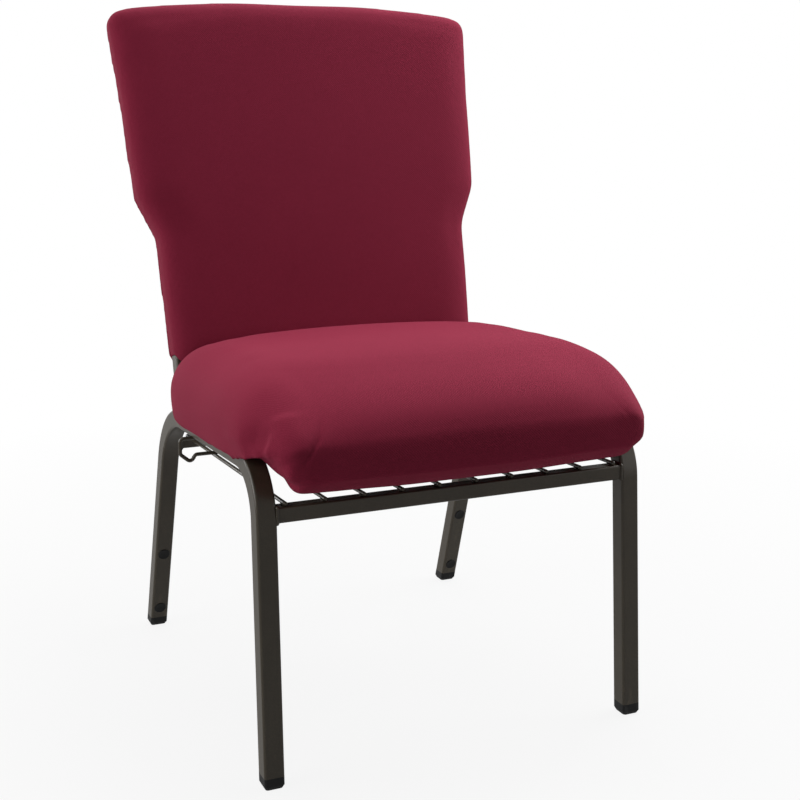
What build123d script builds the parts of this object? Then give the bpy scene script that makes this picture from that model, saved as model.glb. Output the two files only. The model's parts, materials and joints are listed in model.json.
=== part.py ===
"""Church chair: bent square-tube frame, padded seat and winged back, wire book rack."""

from math import atan2, copysign, cos, radians, sin, sqrt, tan
import os

from build123d import *

os.makedirs("parts", exist_ok=True)

# Frame tubing, all sizes in millimetres
tube_size = 25.0
tube_wall = 1.5
tube_corner = 3.5
frame_width = 516.0

# Side frame: centre line of the bent tube, front is -Y
front_foot_y = -291.0
rear_foot_y = 258.0
front_corner_y = -268.0
front_corner_z = 380.0
rear_corner_y = 139.0
rear_corner_z = 359.0
front_bend_radius = 66.0
rear_bend_radius = 122.0

# Glides under the legs
glide_height = 14.0
glide_foot_inset = 2.0
glide_foot_rise = 4.0
glide_stem_length = 11.0
plug_clearance = 0.3

# Round plugs in the front faces of the rear legs
plug_heights = {"upper": 129.0, "lower": 35.0}
plug_hole_diameter = 13.0
plug_head_diameter = 17.0
plug_head_height = 1.2
plug_dish_depth = 0.8
plug_barrel_length = 7.0
plug_barrel_wall = 1.6

# Cross rails
front_rail_size = 19.0
front_rail_corner = 2.5
front_rail_wall = 1.5
front_rail_top = 332.0
front_rail_setback = 1.0
rear_rail_size = 13.0
rear_rail_corner = 2.0
rear_rail_wall = 1.2
rear_rail_top = 314.5
rear_rail_lead = 10.0

# Back uprights
back_lean = 15.9
upright_y = 165.0
upright_reference_z = 412.0
upright_bottom_drop = 88.0
upright_top_rise = 490.0
end_cap_height = 3.0
end_cap_stem_length = 16.0
end_cap_chamfer = 1.0

# Book rack
rack_wire_diameter = 5.0
rack_wire_count = 10
rack_wire_spacing = 49.3
rack_wire_overhang = 1.5
rack_wire_end_chamfer = 0.8

# Ganging wire, which crosses the rack and ends in a loop under each seat rail
ganging_y = -1.0
ganging_reach = 13.0
ganging_inner_end = 22.0
ganging_side_drop = 21.0
ganging_tip_drop = 36.5
ganging_tip_inset = 18.5
ganging_rise_inset = 18.0
ganging_bend_radius = 5.0

# Seat board, dust cover and fasteners, on the plane of the rail tops
seat_board_thickness = 12.0
seat_board_width = 512.0
seat_board_front = -232.0
seat_board_rear = 112.0
seat_board_corner = 40.0
dust_cover_thickness = 1.2
dust_cover_gap = 2.0
screw_diameter = 6.0
screw_head_diameter = 12.0
screw_head_height = 3.5
screw_head_chamfer = 1.7
screw_point_setback = 1.0
screw_clearance = 0.3
tee_nut_flange_diameter = 15.0
tee_nut_flange_height = 1.5
tee_nut_barrel_wall = 1.3
seat_screw_front = -150.0
seat_screw_rear = 32.0

# Seat cushion, measured from the plane of the rail tops
soft_gap = 0.3
seat_width = 544.0
seat_crown = 99.0
seat_crown_rise = 8.0
seat_skirt = 9.0
seat_shoulder_inset = 72.0
seat_bulge_share = 0.32
seat_skirt_inset = 7.0
seat_front_flat = -145.0
seat_nose = -341.0
seat_nose_height = -10.0
seat_nose_width = 470.0
seat_roll_depth = 38.0
seat_roll_start = -205.0
seat_roll_low = -292.0
seat_roll_width = 420.0
seat_notch_half = 238.0
seat_notch_foot_half = 206.0
seat_notch_low = -9.5
seat_notch_top = 15.0
seat_notch_rear = -212.0
seat_rear_flat = 24.0
seat_rear = 123.0
seat_rear_width = 408.0
seat_rear_crown = 68.0
seat_rear_bottom = 12.0
seat_rear_overrun = 1.0
seat_front_shares = (0.3, 0.55, 0.75, 0.89, 0.97)
seat_rear_shares = (1.0, 0.93, 0.75, 0.45)

# Back cushion, measured along and across the uprights
back_bottom = 2.0
back_top = 541.0
back_top_arch = 15.0
back_bottom_width = 472.0
back_waist_width = 481.0
back_waist_height = 192.0
back_wing_width = 534.0
back_wing_height = 250.0
back_flare_width = 551.0
back_flare_height = 400.0
back_top_width = 574.0
back_waist_radius = 60.0
back_wing_radius = 40.0
back_flare_radius = 400.0
back_top_corner = 24.0
back_bottom_corner = 26.0
back_front_depth = 38.0
back_front_crown = 10.0
back_crown_radius = 6000.0
back_edge_round = 21.0
back_board_thickness = 9.0
back_board_inset = 6.0
outer_panel_thickness = 13.2
outer_panel_round = 9.0
back_screw_heights = (90.0, 400.0)

# Values worked out from the driving dimensions
half_tube = tube_size / 2
tube_bore = tube_size - 2 * tube_wall
tube_bore_corner = tube_corner - tube_wall
side_x = frame_width / 2 - half_tube
inner_face_x = frame_width / 2 - tube_size
upright_x = inner_face_x - half_tube

front_rake = atan2(front_corner_y - front_foot_y, front_corner_z)
rear_rake = atan2(rear_foot_y - rear_corner_y, rear_corner_z)
rail_slope = atan2(front_corner_z - rear_corner_z, rear_corner_y - front_corner_y)
rail_centre_z = front_corner_z + front_corner_y * tan(rail_slope)
rail_top_z = rail_centre_z + half_tube / cos(rail_slope)
rail_bottom_z = rail_centre_z - half_tube / cos(rail_slope)

# Plane of the rail tops: local X across, local Y rearwards along the rails, local Z up
seat_plane = Plane(
    origin=(0, 0, rail_top_z),
    x_dir=(1, 0, 0),
    z_dir=(0, sin(rail_slope), cos(rail_slope)),
)

# Plane across the uprights: local X across, local Y rearwards, local Z up along the uprights
lean = radians(back_lean)
back_section = Plane(
    origin=(0, upright_y, upright_reference_z),
    x_dir=(1, 0, 0),
    z_dir=(0, sin(lean), cos(lean)),
)
# Plane of the back: local X across, local Y up along the uprights, local Z forwards
back_plane = Plane(
    origin=(0, upright_y, upright_reference_z),
    x_dir=(1, 0, 0),
    z_dir=(0, -cos(lean), sin(lean)),
)


def front_leg_y(z):
    """Centre line of the straight part of a front leg at height z."""
    return front_foot_y + z * tan(front_rake)


def rear_leg_y(z):
    """Centre line of the straight part of a rear leg at height z."""
    return rear_foot_y - z * tan(rear_rake)


def rear_bend_y(z):
    """Centre line of the rear bend at height z."""
    turn = radians(90) - rail_slope - rear_rake
    tangent = rear_bend_radius * tan(turn / 2)
    start_y = rear_corner_y + tangent * sin(rear_rake)
    start_z = rear_corner_z - tangent * cos(rear_rake)
    centre_y = start_y - rear_bend_radius * cos(rear_rake)
    centre_z = start_z - rear_bend_radius * sin(rear_rake)
    return centre_y + sqrt(rear_bend_radius**2 - (z - centre_z) ** 2)


def save(builder, name):
    """Label a finished piece and write it."""
    builder.part.label = name
    export_step(builder.part, f"parts/{name}.step")


def tube_section(size, corner, wall):
    """Hollow square tube section with rounded corners, drawn in the current sketch."""
    RectangleRounded(size, size, corner)
    RectangleRounded(size - 2 * wall, size - 2 * wall, corner - wall, mode=Mode.SUBTRACT)


def side_frame_path(x):
    """Centre line of one bent side frame, from the front foot to the rear foot."""
    with BuildLine(Plane.YZ.offset(x)) as path:
        FilletPolyline(
            (front_foot_y, 0),
            (front_corner_y, front_corner_z),
            (rear_corner_y, rear_corner_z),
            (rear_foot_y, 0),
            radius=[front_bend_radius, rear_bend_radius],
        )
    return path.line


def plug_place(x, z):
    """Plane on the front face of a rear leg at height z, with local Z out of the face."""
    normal = Vector(0, -cos(rear_rake), -sin(rear_rake))
    centre = Vector(x, rear_leg_y(z), z)
    return Plane(origin=centre + normal * half_tube, x_dir=(1, 0, 0), z_dir=normal)


# Side frames: one bent tube each, with holes for the seat screws and the round plugs
seat_screw_ys = (seat_screw_front, seat_screw_rear)
for side, x in (("left", -side_x), ("right", side_x)):
    frame_path = side_frame_path(x)
    with BuildPart() as side_frame:
        with BuildSketch(Plane(origin=frame_path @ 0, x_dir=(1, 0, 0), z_dir=frame_path % 0)):
            tube_section(tube_size, tube_corner, tube_wall)
        sweep(path=frame_path)
        split(bisect_by=Plane.XY.offset(glide_height), keep=Keep.TOP)
        with BuildSketch(seat_plane):
            with Locations(*[(x, y) for y in seat_screw_ys]):
                Circle(screw_diameter / 2 + screw_clearance)
        extrude(amount=-2 * tube_size, mode=Mode.SUBTRACT)
        for z in plug_heights.values():
            with BuildSketch(plug_place(x, z)):
                Circle(plug_hole_diameter / 2 + plug_clearance)
            extrude(amount=-half_tube, mode=Mode.SUBTRACT)
    save(side_frame, f"{side}_side_frame")

# Cross rails between the inner faces of the legs
front_rail_z = front_rail_top - front_rail_size / 2
front_rail_y = front_leg_y(front_rail_z) - half_tube + front_rail_setback + front_rail_size / 2
with BuildPart() as front_cross_rail:
    with BuildSketch(Plane.YZ.offset(-inner_face_x)):
        with Locations((front_rail_y, front_rail_z)):
            tube_section(front_rail_size, front_rail_corner, front_rail_wall)
    extrude(amount=2 * inner_face_x)
save(front_cross_rail, "front_cross_rail")

rear_rail_z = rear_rail_top - rear_rail_size / 2
rear_rail_y = rear_bend_y(rear_rail_z) - rear_rail_lead
with BuildPart() as rear_cross_rail:
    with BuildSketch(Plane.YZ.offset(-inner_face_x)):
        with Locations((rear_rail_y, rear_rail_z)):
            tube_section(rear_rail_size, rear_rail_corner, rear_rail_wall)
    extrude(amount=2 * inner_face_x)
save(rear_cross_rail, "rear_cross_rail")

# Back uprights on the inner faces of the side frames, and the caps in their lower ends
back_screw_radius = screw_diameter / 2
for side, x in (("left", -upright_x), ("right", upright_x)):
    with BuildPart() as upright:
        with BuildSketch(back_section.offset(-upright_bottom_drop)):
            with Locations((x, 0)):
                tube_section(tube_size, tube_corner, tube_wall)
        extrude(amount=upright_bottom_drop + upright_top_rise)
        with BuildSketch(back_plane.offset(-tube_size)):
            with Locations(*[(x, t) for t in back_screw_heights]):
                Circle(back_screw_radius + screw_clearance)
        extrude(amount=2 * tube_size, mode=Mode.SUBTRACT)
    save(upright, f"{side}_back_upright")

    stem = tube_bore - 2 * plug_clearance
    with BuildPart() as end_cap:
        with BuildSketch(back_section.offset(-upright_bottom_drop)):
            with Locations((x, 0)):
                RectangleRounded(tube_size, tube_size, tube_corner)
        extrude(amount=-end_cap_height)
        cap_rim = end_cap.faces().sort_by(Axis((0, 0, 0), back_section.z_dir))[0].edges()
        chamfer(cap_rim, length=end_cap_chamfer)
        with BuildSketch(back_section.offset(-upright_bottom_drop)):
            with Locations((x, 0)):
                RectangleRounded(stem, stem, tube_bore_corner)
        extrude(amount=end_cap_stem_length)
    save(end_cap, f"{side}_upright_end_cap")

# Book rack: straight wires from the top of the front rail to the top of the rear rail
wire_radius = rack_wire_diameter / 2
wire_rest_front = Vector(0, front_rail_y + front_rail_size / 2, front_rail_top)
wire_rest_rear = Vector(0, rear_rail_y + rear_rail_size / 2, rear_rail_top)
wire_dir = (wire_rest_rear - wire_rest_front).normalized()
wire_lift = Vector(0, -wire_dir.Z, wire_dir.Y) * wire_radius
wire_start = wire_rest_front + wire_lift - wire_dir * (front_rail_size - rack_wire_overhang)
wire_length = (wire_rest_rear - wire_rest_front).length + front_rail_size - 2 * rack_wire_overhang
first_wire_x = -rack_wire_spacing * (rack_wire_count - 1) / 2
for number in range(rack_wire_count):
    wire_x = first_wire_x + number * rack_wire_spacing
    wire_origin = wire_start + Vector(wire_x, 0, 0)
    with BuildPart() as rack_wire:
        with BuildSketch(Plane(origin=wire_origin, x_dir=(1, 0, 0), z_dir=wire_dir)):
            Circle(wire_radius)
        extrude(amount=wire_length)
        chamfer(rack_wire.edges().filter_by(GeomType.CIRCLE), length=rack_wire_end_chamfer)
    save(rack_wire, f"rack_wire_{number + 1:02d}")

# Ganging wire: lies on the rack wires and turns back under each seat rail in a pointed loop
rack_slope = wire_dir.Z / wire_dir.Y
rack_z = wire_start.Z + (ganging_y - wire_start.Y) * rack_slope
cross_z = rack_z + rack_wire_diameter / wire_dir.Y
rail_underside = rail_bottom_z - ganging_y * tan(rail_slope)
top_run_z = rail_underside - wire_radius / cos(rail_slope)
loop_x = frame_width / 2 + ganging_reach
with BuildPart() as ganging_wire:
    with BuildLine(Plane.XZ.offset(-ganging_y)) as ganging_path:
        right_half = [
            (loop_x - ganging_rise_inset, cross_z),
            (loop_x - ganging_tip_inset, top_run_z - ganging_tip_drop),
            (loop_x, top_run_z - ganging_side_drop),
            (loop_x, top_run_z),
            (frame_width / 2 - ganging_inner_end, top_run_z),
        ]
        left_half = [(-px, pz) for px, pz in reversed(right_half)]
        FilletPolyline(*left_half, *right_half, radius=ganging_bend_radius)
    with BuildSketch(Plane(origin=ganging_path.line @ 0, z_dir=ganging_path.line % 0)):
        Circle(wire_radius)
    sweep(path=ganging_path.line)
save(ganging_wire, "ganging_wire")


def make_glide(name, x, leg_y, rake):
    """Plastic foot under one leg: a tapered sole, a body in line with the tube, and a stem inside it.

    rake is the signed lean of the leg: positive where the leg goes rearwards on its way up."""
    deep = 1 / cos(rake)
    axis = Vector(0, sin(rake), cos(rake))
    stem = tube_bore - 2 * plug_clearance
    with BuildPart() as glide:
        for z, size in (
            (0, tube_size - 2 * glide_foot_inset),
            (glide_foot_rise, tube_size),
            (glide_height, tube_size),
        ):
            with BuildSketch(Plane.XY.offset(z)):
                with Locations((x, leg_y + z * tan(rake))):
                    RectangleRounded(size, size * deep, tube_corner)
        loft(ruled=True)
        with BuildSketch(Plane.XY.offset(glide_height)):
            with Locations((x, leg_y + glide_height * tan(rake))):
                RectangleRounded(stem, stem * deep, tube_bore_corner)
        extrude(amount=glide_stem_length, dir=axis)
    save(glide, name)


for side, x in (("left", -side_x), ("right", side_x)):
    make_glide(f"front_{side}_glide", x, front_foot_y, front_rake)
    make_glide(f"rear_{side}_glide", x, rear_foot_y, -rear_rake)

# Round plugs with a dished head, pressed into the front faces of the rear legs
for side, x in (("left", -side_x), ("right", side_x)):
    for level, z in plug_heights.items():
        place = plug_place(x, z)
        barrel = plug_hole_diameter / 2
        head = plug_head_diameter / 2
        with BuildPart() as plug:
            with BuildSketch(Plane(origin=place.origin, x_dir=(1, 0, 0), z_dir=-place.y_dir)):
                with BuildLine():
                    dish = TangentArc(
                        (0, plug_head_height - plug_dish_depth),
                        (head - plug_head_height, plug_head_height),
                        tangent=(1, 0),
                    )
                    Polyline(
                        dish @ 1,
                        (head - plug_head_height / 2, plug_head_height),
                        (head, plug_head_height / 2),
                        (head, 0),
                        (barrel, 0),
                        (barrel, -plug_barrel_length),
                        (barrel - plug_barrel_wall, -plug_barrel_length),
                        (barrel - plug_barrel_wall, -plug_head_height),
                        (0, -plug_head_height),
                        dish @ 0,
                    )
                make_face()
            revolve(axis=Axis(place.origin, place.z_dir))
        save(plug, f"{side}_{level}_leg_plug")

# Seat board on the rails, with counterbored holes for the tee nuts
tee_bore = screw_diameter / 2 + screw_clearance
tee_barrel = tee_bore + tee_nut_barrel_wall
tee_flange = tee_nut_flange_diameter / 2
seat_holes = [(x, y) for x in (-side_x, side_x) for y in seat_screw_ys]
board_length = seat_board_rear - seat_board_front
board_middle = (seat_board_rear + seat_board_front) / 2


def seat_board_outline(grow):
    """Rounded outline of the seat board in the current sketch, grown by a clearance."""
    with Locations((0, board_middle)):
        RectangleRounded(
            seat_board_width + 2 * grow, board_length + 2 * grow, seat_board_corner + grow
        )


with BuildPart() as seat_board:
    with BuildSketch(seat_plane):
        seat_board_outline(0)
    extrude(amount=seat_board_thickness)
    with Locations(seat_plane.offset(seat_board_thickness)):
        with Locations(*seat_holes):
            CounterBoreHole(
                radius=tee_barrel + screw_clearance,
                counter_bore_radius=tee_flange + screw_clearance,
                counter_bore_depth=tee_nut_flange_height + screw_clearance,
            )
save(seat_board, "seat_board")

# Dust cover: a thin sheet under the board, between the rails
with BuildPart() as seat_dust_cover:
    with BuildSketch(seat_plane):
        with Locations((0, board_middle)):
            RectangleRounded(
                2 * (inner_face_x - dust_cover_gap), board_length - 2 * dust_cover_gap, seat_board_corner
            )
    extrude(amount=-dust_cover_thickness)
save(seat_dust_cover, "seat_dust_cover")


def make_screws(name, plane, holes, grip, board):
    """Pan-head screws: heads below the plane by the grip, shanks up through it into a board."""
    with BuildPart() as screws:
        with BuildSketch(plane.offset(-grip)):
            with Locations(*holes):
                Circle(screw_head_diameter / 2)
        extrude(amount=-screw_head_height)
        rims = screws.edges().filter_by(GeomType.CIRCLE).group_by(Axis((0, 0, 0), plane.z_dir))[0]
        chamfer(rims, length=screw_head_chamfer)
        with BuildSketch(plane.offset(-grip)):
            with Locations(*holes):
                Circle(screw_diameter / 2)
        extrude(amount=grip + board - screw_point_setback)
    save(screws, name)


def make_tee_nuts(name, plane, holes, board):
    """Tee nuts: flanges sunk in the far face of a board, barrels through most of it."""
    with BuildPart() as nuts:
        with BuildSketch(plane.offset(board)):
            with Locations(*holes):
                Circle(tee_flange)
                Circle(tee_bore, mode=Mode.SUBTRACT)
        extrude(amount=-tee_nut_flange_height)
        with BuildSketch(plane.offset(board - tee_nut_flange_height)):
            with Locations(*holes):
                Circle(tee_barrel)
                Circle(tee_bore, mode=Mode.SUBTRACT)
        extrude(amount=tee_nut_flange_height + screw_clearance - board)
    save(nuts, name)


make_screws("seat_screws", seat_plane, seat_holes, tube_size, seat_board_thickness)
make_tee_nuts("seat_tee_nuts", seat_plane, seat_holes, seat_board_thickness)


def seat_size_at(v):
    """Half width, crown height, bottom height and bottom half width of the seat cushion at depth v.

    The front runs down in a quarter ellipse to the nose, the rear in a shorter one, and the underside
    of the front swells into a roll between the front legs."""
    full = seat_width / 2
    half, crown, bottom = full, seat_crown, -seat_skirt
    bottom_half = full - seat_skirt_inset
    if v < seat_front_flat:
        fade = sqrt(1 - ((seat_front_flat - v) / (seat_front_flat - seat_nose)) ** 2)
        half = seat_nose_width / 2 + (full - seat_nose_width / 2) * fade
        crown = seat_nose_height + (seat_crown - seat_nose_height) * fade
    if v > seat_rear_flat:
        fade = sqrt(1 - ((v - seat_rear_flat) / (seat_rear + seat_rear_overrun - seat_rear_flat)) ** 2)
        half = seat_rear_width / 2 + (full - seat_rear_width / 2) * fade
        crown = seat_rear_crown + (seat_crown - seat_rear_crown) * fade
        bottom = seat_rear_bottom - (seat_rear_bottom + seat_skirt) * fade
        bottom_half = half - seat_skirt_inset
    if v < seat_roll_start:
        drop = min(1.0, (seat_roll_start - v) / (seat_roll_start - seat_roll_low))
        blend = drop * drop * (3 - 2 * drop)
        low = -seat_skirt - seat_roll_depth
        bottom = -seat_skirt - seat_roll_depth * blend
        bottom_half += (seat_roll_width / 2 - bottom_half) * blend
        if v < seat_roll_low:
            fade = sqrt(1 - ((seat_roll_low - v) / (seat_roll_low - seat_nose)) ** 2)
            bottom = seat_nose_height + (low - seat_nose_height) * fade
            bottom_half = (seat_nose_width - 2 * seat_roll_depth) / 2
            bottom_half += (seat_roll_width / 2 - bottom_half) * fade
    return half, crown, bottom, bottom_half


# Seat cushion: sections across the seat, lofted from the rear edge to the nose of the waterfall
rear_steps = [seat_rear_flat + (seat_rear - seat_rear_flat) * share for share in seat_rear_shares]
flat_steps = [seat_rear_flat, (seat_rear_flat + seat_front_flat) / 2, seat_front_flat]
front_steps = [seat_front_flat + (seat_nose - seat_front_flat) * share for share in seat_front_shares]
seat_stations = rear_steps + flat_steps + front_steps
with BuildPart() as seat_cushion:
    for v in seat_stations:
        half, crown, bottom, bottom_half = seat_size_at(v)
        full_height = seat_crown + seat_skirt
        share = (crown - bottom) / full_height
        shoulder = half - seat_shoulder_inset * min(1.0, share)
        shoulder_z = crown - seat_crown_rise * min(1.0, share)
        bulge_z = bottom + (crown - bottom) * seat_bulge_share
        across = Plane(
            origin=seat_plane.from_local_coords((0, v, 0)),
            x_dir=(1, 0, 0),
            z_dir=-seat_plane.y_dir,
        )
        with BuildSketch(across):
            with BuildLine():
                right_side = [
                    EllipticalCenterArc((bottom_half, bulge_z), half - bottom_half, bulge_z - bottom, 270),
                    EllipticalCenterArc((shoulder, bulge_z), half - shoulder, shoulder_z - bulge_z, 0),
                ]
                mirror(right_side, about=Plane.YZ)
                ThreePointArc((shoulder, shoulder_z), (0, crown), (-shoulder, shoulder_z))
                Line((-bottom_half, bottom), (bottom_half, bottom))
            make_face()
    loft()
    # Notches beside the front roll, above the front bends of the tubes
    notch_side = Plane(origin=seat_plane.origin, x_dir=seat_plane.y_dir, z_dir=(1, 0, 0))
    roll_floor = -seat_skirt - seat_roll_depth
    notch_floor = roll_floor - seat_skirt
    for x in (-seat_notch_half, seat_notch_half):
        with BuildSketch(notch_side.offset(x)):
            with BuildLine():
                Polyline(
                    (seat_notch_rear, seat_notch_low),
                    (seat_nose, seat_notch_top),
                    (seat_nose, notch_floor),
                    (seat_notch_rear, notch_floor),
                    close=True,
                )
            make_face()
        extrude(amount=copysign(seat_width / 2, x), mode=Mode.SUBTRACT)
    # Below the notches the ends of the roll slope inwards
    roll_section = Plane(
        origin=seat_plane.from_local_coords((0, seat_notch_rear, 0)), x_dir=(1, 0, 0), z_dir=-seat_plane.y_dir
    )
    for turn in (-1, 1):
        with BuildSketch(roll_section):
            with BuildLine():
                Polyline(
                    (turn * seat_notch_half, seat_notch_low),
                    (turn * seat_width / 2, seat_notch_low),
                    (turn * seat_width / 2, notch_floor),
                    (turn * seat_notch_foot_half, notch_floor),
                    (turn * seat_notch_foot_half, roll_floor),
                    close=True,
                )
            make_face()
        extrude(amount=seat_notch_rear - seat_nose, mode=Mode.SUBTRACT)
    # Room for the board, and for the bent tubes with a small gap
    with BuildSketch(seat_plane.offset(seat_board_thickness + soft_gap)):
        seat_board_outline(soft_gap)
    extrude(amount=-seat_board_thickness - seat_skirt - seat_roll_depth, mode=Mode.SUBTRACT)
    for x in (-side_x, side_x):
        frame_path = side_frame_path(x)
        with BuildSketch(Plane(origin=frame_path @ 0, x_dir=(1, 0, 0), z_dir=frame_path % 0)):
            RectangleRounded(tube_size + 2 * soft_gap, tube_size + 2 * soft_gap, tube_corner + soft_gap)
        sweep(path=frame_path, mode=Mode.SUBTRACT)
save(seat_cushion, "seat_cushion")


def back_outline(plane, inset=0):
    """Winged outline of the back as a sketch in a plane parallel to the back, drawn in by an inset."""
    with BuildSketch(plane) as outline:
        with BuildLine():
            right_side = Polyline(
                (0, back_bottom),
                (back_bottom_width / 2, back_bottom),
                (back_waist_width / 2, back_waist_height),
                (back_wing_width / 2, back_wing_height),
                (back_flare_width / 2, back_flare_height),
                (back_top_width / 2, back_top - back_top_arch),
            )
            mirror(right_side, about=Plane.YZ)
            ThreePointArc(right_side @ 1, (0, back_top), (-back_top_width / 2, back_top - back_top_arch))
        make_face()
        # Corner rows are rounded from the top down, so that the rows below keep their places
        corner_radii = (
            (4, back_top_corner),
            (3, back_flare_radius),
            (2, back_wing_radius),
            (1, back_waist_radius),
        )
        for row, corner_radius in corner_radii:
            fillet(outline.vertices().group_by(Axis.Y)[row], radius=corner_radius)
        bottom_row = outline.vertices().group_by(Axis.Y)[0].sort_by(Axis.X)
        fillet([bottom_row[0], bottom_row[-1]], radius=back_bottom_corner)
        if inset:
            offset(amount=-inset, mode=Mode.REPLACE)
    return outline.sketch


# Back board in front of the uprights, with counterbored holes for the tee nuts
back_holes = [(x, t) for x in (-upright_x, upright_x) for t in back_screw_heights]
upright_front = back_plane.offset(half_tube)
with BuildPart() as back_board:
    extrude(back_outline(upright_front, back_board_inset), amount=back_board_thickness)
    with Locations(upright_front.offset(back_board_thickness)):
        with Locations(*back_holes):
            CounterBoreHole(
                radius=tee_barrel + screw_clearance,
                counter_bore_radius=tee_flange + screw_clearance,
                counter_bore_depth=tee_nut_flange_height + screw_clearance,
            )
save(back_board, "back_board")
make_screws("back_screws", upright_front, back_holes, tube_size, back_board_thickness)
make_tee_nuts("back_tee_nuts", upright_front, back_holes, back_board_thickness)

# Back cushion: the outline under a front that is crowned both ways, with its front edge rounded over
cushion_rear = half_tube - soft_gap
cushion_front = back_front_depth + back_front_crown
crown_span = back_top_width / 2 + back_edge_round
back_middle = back_section.offset((back_bottom + back_top) / 2)
crown_axis = Axis(back_middle.from_local_coords((0, back_crown_radius, 0)), (1, 0, 0))
with BuildPart() as back_cushion:
    extrude(back_outline(back_plane.offset(-cushion_rear)), amount=cushion_rear + cushion_front)
    with BuildSketch(back_middle):
        with BuildLine():
            crown_arc = ThreePointArc(
                (-crown_span, -back_front_depth), (0, -cushion_front), (crown_span, -back_front_depth)
            )
            Polyline(crown_arc @ 1, (crown_span, half_tube), (-crown_span, half_tube), crown_arc @ 0)
        make_face()
    revolve(axis=crown_axis, mode=Mode.INTERSECT)
    front_face = back_cushion.faces().sort_by(Axis((0, 0, 0), back_plane.z_dir))[-1]
    fillet(front_face.edges(), radius=back_edge_round)
    # Hollow for the board, open to the rear, and slots for the uprights
    hollow = back_outline(back_plane.offset(-cushion_rear), back_board_inset - soft_gap)
    extrude(hollow, amount=cushion_rear + half_tube + back_board_thickness + soft_gap, mode=Mode.SUBTRACT)
    with BuildSketch(back_section.offset(-upright_bottom_drop)):
        with Locations((-upright_x, half_tube / 2), (upright_x, half_tube / 2)):
            Rectangle(tube_size + 2 * soft_gap, tube_size + half_tube + 2 * soft_gap)
    extrude(amount=upright_bottom_drop + upright_top_rise + soft_gap, mode=Mode.SUBTRACT)
    # Pockets for the tee nuts and the screws in them
    with BuildSketch(upright_front):
        with Locations(*back_holes):
            Circle(tee_flange + soft_gap)
    extrude(amount=back_board_thickness + soft_gap, mode=Mode.SUBTRACT)
save(back_cushion, "back_cushion")

# Outer back panel behind the uprights, with pockets for the screw heads
panel_front = back_plane.offset(-half_tube - soft_gap)
with BuildPart() as back_outer_panel:
    extrude(back_outline(panel_front), amount=-outer_panel_thickness)
    rear_face = back_outer_panel.faces().sort_by(Axis((0, 0, 0), back_plane.z_dir))[0]
    fillet(rear_face.edges(), radius=outer_panel_round)
    with BuildSketch(panel_front):
        with Locations(*back_holes):
            Circle(screw_head_diameter / 2 + screw_clearance)
    extrude(amount=-screw_head_height - screw_clearance, mode=Mode.SUBTRACT)
save(back_outer_panel, "back_outer_panel")
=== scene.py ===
"""Looks of a church chair: padded covers, finishes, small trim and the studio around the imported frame."""

import json
import logging
import math
from dataclasses import dataclass, field
from enum import Enum

import bmesh
import bpy
import numpy as np
from bmesh.types import BMesh, BMVert
from bpy.types import ID, Material, Modifier, Node, NodeSocket, NodeTree, Object
from mathutils import Matrix, Vector
from mathutils.bvhtree import BVHTree


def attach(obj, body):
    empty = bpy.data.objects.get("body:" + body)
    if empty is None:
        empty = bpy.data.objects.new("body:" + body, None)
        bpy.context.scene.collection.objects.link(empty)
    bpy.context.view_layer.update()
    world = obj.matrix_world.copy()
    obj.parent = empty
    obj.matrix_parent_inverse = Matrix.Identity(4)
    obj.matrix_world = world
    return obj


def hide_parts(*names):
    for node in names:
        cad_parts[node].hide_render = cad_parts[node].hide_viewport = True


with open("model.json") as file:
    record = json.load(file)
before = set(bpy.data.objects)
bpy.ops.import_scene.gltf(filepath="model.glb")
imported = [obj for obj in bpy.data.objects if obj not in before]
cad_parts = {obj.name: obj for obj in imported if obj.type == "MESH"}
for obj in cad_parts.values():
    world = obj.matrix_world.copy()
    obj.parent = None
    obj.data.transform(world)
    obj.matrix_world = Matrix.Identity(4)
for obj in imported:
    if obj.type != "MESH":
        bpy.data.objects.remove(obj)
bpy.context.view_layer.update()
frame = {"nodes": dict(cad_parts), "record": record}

LOG = logging.getLogger("church_chair")
BODY = "root"

Array = np.ndarray
Span = tuple[float, float]
Point = tuple[float, float, float]
Line = tuple[Point, ...]
Colour = tuple[float, float, float, float]
Sockets = dict[str, NodeSocket]

WHITE: Colour = (1.0, 1.0, 1.0, 1.0)


class Slot(Enum):
    """Material slots of the record."""

    FRAME_METAL = "frame_metal"
    COVER_FABRIC = "cover_fabric"
    PLYWOOD = "plywood"
    DUST_FABRIC = "dust_fabric"
    BLACK_PLASTIC = "black_plastic"
    FASTENER = "fastener"


class Side(Enum):
    """Sides of the chair, with the sign of X on each."""

    LEFT = -1.0
    RIGHT = 1.0


def assign(target: object, **settings: object) -> None:
    """Sets properties of a Blender item by name."""
    for name, value in settings.items():
        setattr(target, name, value)


def ramp(values: Array, low: float, high: float) -> Array:
    """Smooth step of an array.

    Args:
        values: Any array.
        low: Value at which the step starts.
        high: Value at which it ends, which may be below low.

    Returns:
        An array from 0 to 1.
    """
    share = np.clip((values - low) / (high - low), 0.0, 1.0)
    return share * share * (3.0 - 2.0 * share)


def bell(values: Array, middle: float, width: float) -> Array:
    """Returns a soft bump of height 1 at the middle that has faded out at about twice the width."""
    return np.exp(-(((values - middle) / width) ** 2))


def columns(local: Array) -> tuple[Array, Array, Array]:
    """Returns how far points lie from the chair's middle, along a plane and out of it."""
    return np.abs(local[:, 0]), local[:, 1].copy(), local[:, 2].copy()


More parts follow.
